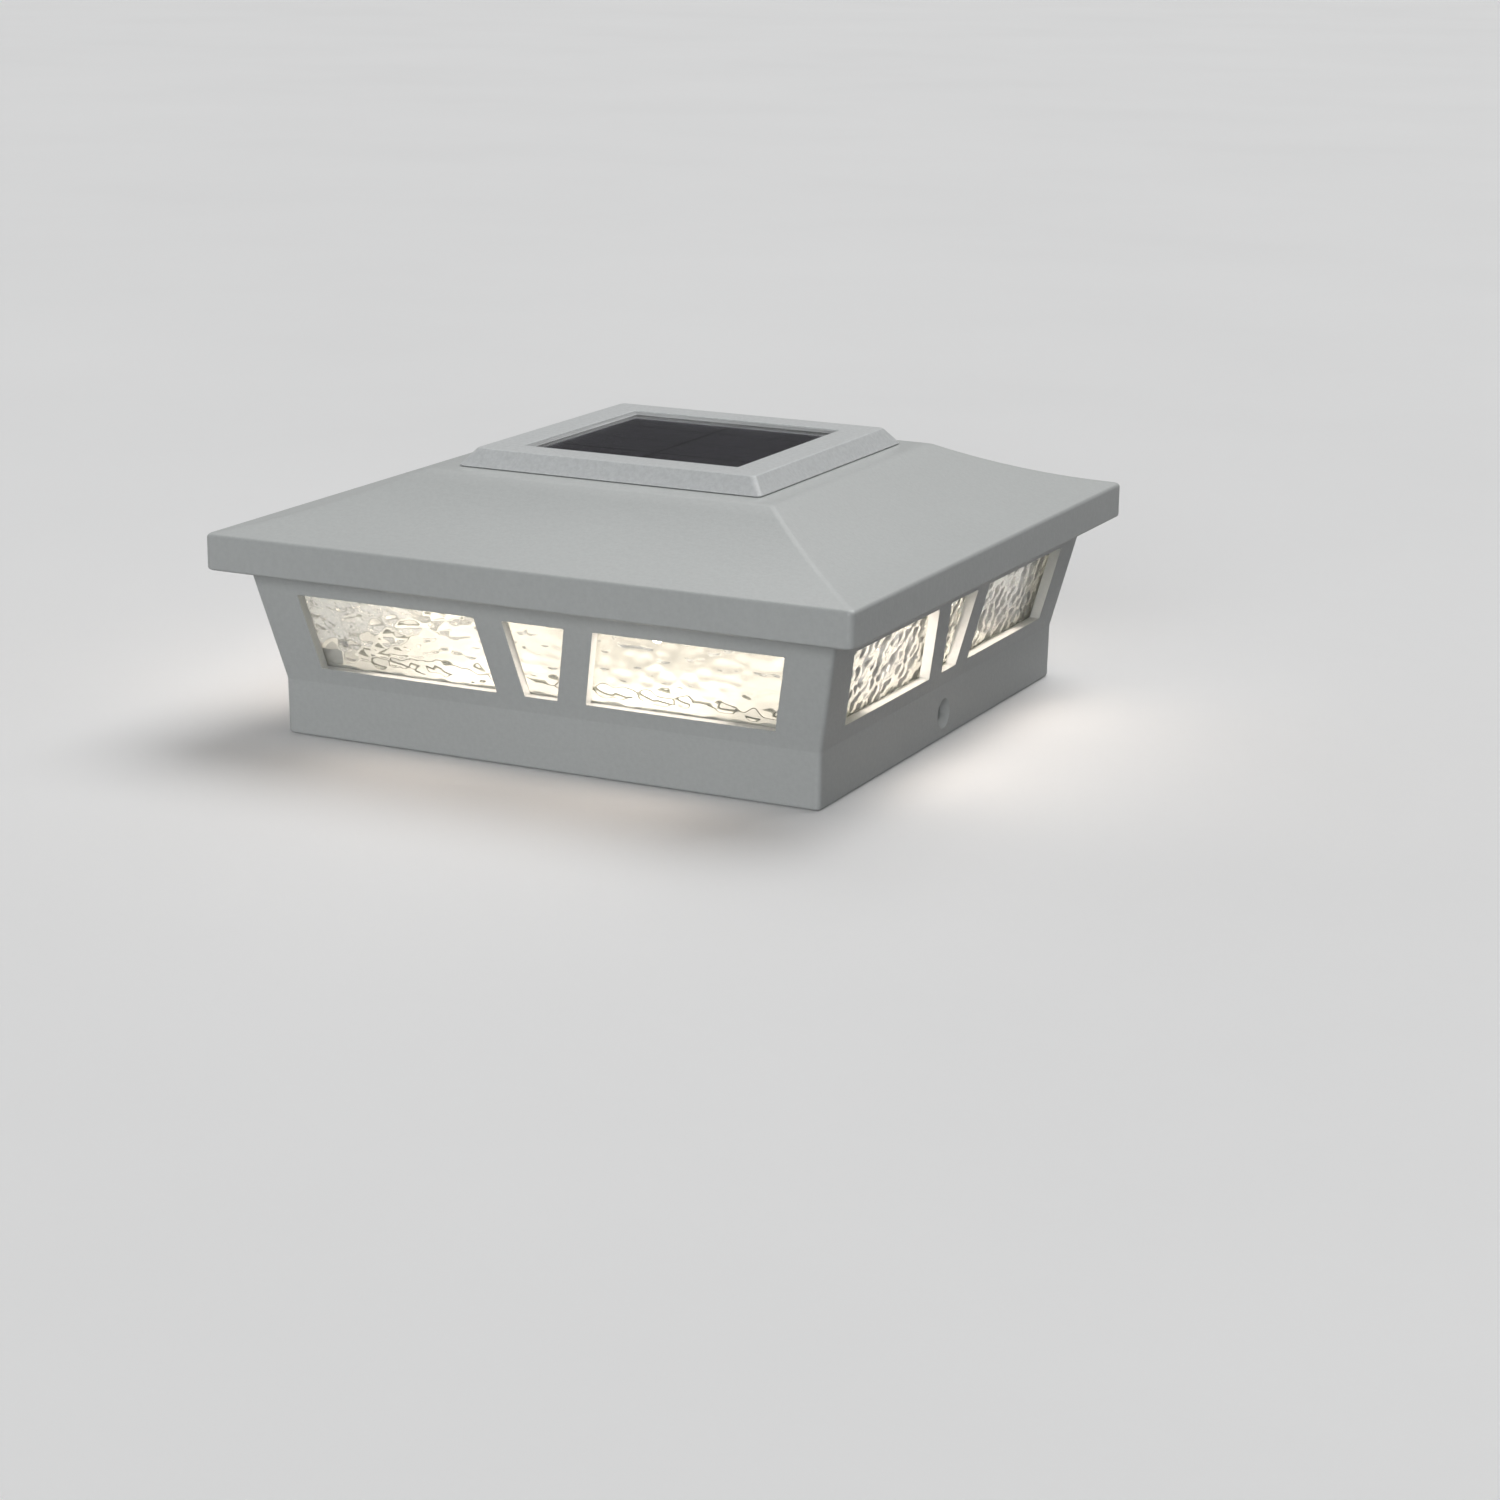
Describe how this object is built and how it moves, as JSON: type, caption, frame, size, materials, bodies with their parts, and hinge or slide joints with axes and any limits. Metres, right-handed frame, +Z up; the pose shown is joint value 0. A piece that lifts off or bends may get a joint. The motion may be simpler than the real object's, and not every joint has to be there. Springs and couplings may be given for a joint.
{
  "type": "solar fence post cap",
  "caption": "Square cast cap for a fence post: flared body with slanted glass windows, and a low lift-off roof with a solar panel, lamps, battery door and slide switch.",
  "frame": {"origin": "centre of the base's bottom rim, on the post's axis", "axes": "+Z up along the post; -Y is the front, the large face in the picture; +X is the right side, with a fixing hole"},
  "size_m": [0.1912, 0.1912, 0.0767],
  "materials": {
    "powder_coat": "cast aluminium with a pale grey-white, lightly textured powder coat",
    "bezel_paint": "moulded frame, painted to match the roof",
    "hammered_glass": "clear hammered glass with a faint green edge",
    "panel_glazing": "clear cast resin",
    "silicon": "dark purple-grey silicon",
    "foam": "closed-cell foam",
    "white_reflector": "white painted sheet",
    "white_plastic": "white moulded plastic",
    "grey_plastic": "grey moulded plastic",
    "black_plastic": "black moulded plastic",
    "circuit_green": "green solder mask",
    "circuit_white": "white solder mask",
    "lamp_resin": "clear warm white lamp resin",
    "zinc_steel": "zinc plated",
    "nickel": "nickel plated",
    "battery_sleeve": "printed plastic sleeve without lettering",
    "rubber": "black rubber",
    "red_wire": "red insulation",
    "black_wire": "black insulation"
  },
  "bodies": {
    "base": {"base_shell": "powder_coat", "reflector_floor": "white_reflector", "glass_pane_front": "hammered_glass", "glass_pane_right": "hammered_glass", "glass_pane_back": "hammered_glass", "glass_pane_left": "hammered_glass", "glass_clip_1": "white_plastic", "glass_clip_2": "white_plastic", "glass_clip_3": "white_plastic", "glass_clip_4": "white_plastic", "glass_clip_screw_1": "zinc_steel", "glass_clip_screw_2": "zinc_steel", "glass_clip_screw_3": "zinc_steel", "glass_clip_screw_4": "zinc_steel"},
    "roof": {"roof_cover": "powder_coat", "solar_bezel": "bezel_paint", "solar_glass": "panel_glazing", "solar_backboard": "circuit_white", "panel_gasket": "foam", "light_tray": "white_plastic", "led_board": "circuit_white", "battery_cell": "battery_sleeve", "contact_spring": "nickel", "contact_plate": "nickel", "circuit_board": "circuit_green", "switch_body": "black_plastic", "solar_cell_1": "silicon", "solar_cell_2": "silicon", "solar_cell_3": "silicon", "solar_cell_4": "silicon", "bezel_screw_1": "zinc_steel", "bezel_screw_2": "zinc_steel", "bezel_screw_3": "zinc_steel", "bezel_screw_4": "zinc_steel", "tray_screw_1": "zinc_steel", "tray_screw_2": "zinc_steel", "tray_screw_3": "zinc_steel", "tray_screw_4": "zinc_steel", "board_screw_1": "zinc_steel", "board_screw_2": "zinc_steel", "rest_pad_1": "rubber", "rest_pad_2": "rubber", "rest_pad_3": "rubber", "rest_pad_4": "rubber", "led_1": "lamp_resin", "led_2": "lamp_resin", "led_3": "lamp_resin", "led_4": "lamp_resin", "led_5": "lamp_resin", "led_6": "lamp_resin", "led_7": "lamp_resin", "led_8": "lamp_resin", "solar_lead_red": "red_wire", "solar_lead_black": "black_wire", "battery_lead_red": "red_wire", "battery_lead_black": "black_wire", "led_lead_red": "red_wire", "led_lead_black": "black_wire"},
    "door": {"battery_door": "white_plastic"},
    "switch": {"switch_slider": "grey_plastic"}
  },
  "joints": [
    {"name": "roof_lift", "type": "slide", "parent": "base", "child": "roof", "axis": [0, 0, 1], "range_m": [0, 0.06]},
    {"name": "door_slide", "type": "slide", "parent": "roof", "child": "door", "axis": [0, 1, 0], "range_m": [0, 0.024]},
    {"name": "switch_slide", "type": "slide", "parent": "roof", "child": "switch", "axis": [1, 0, 0], "range_m": [0, 0.004]}
  ]
}
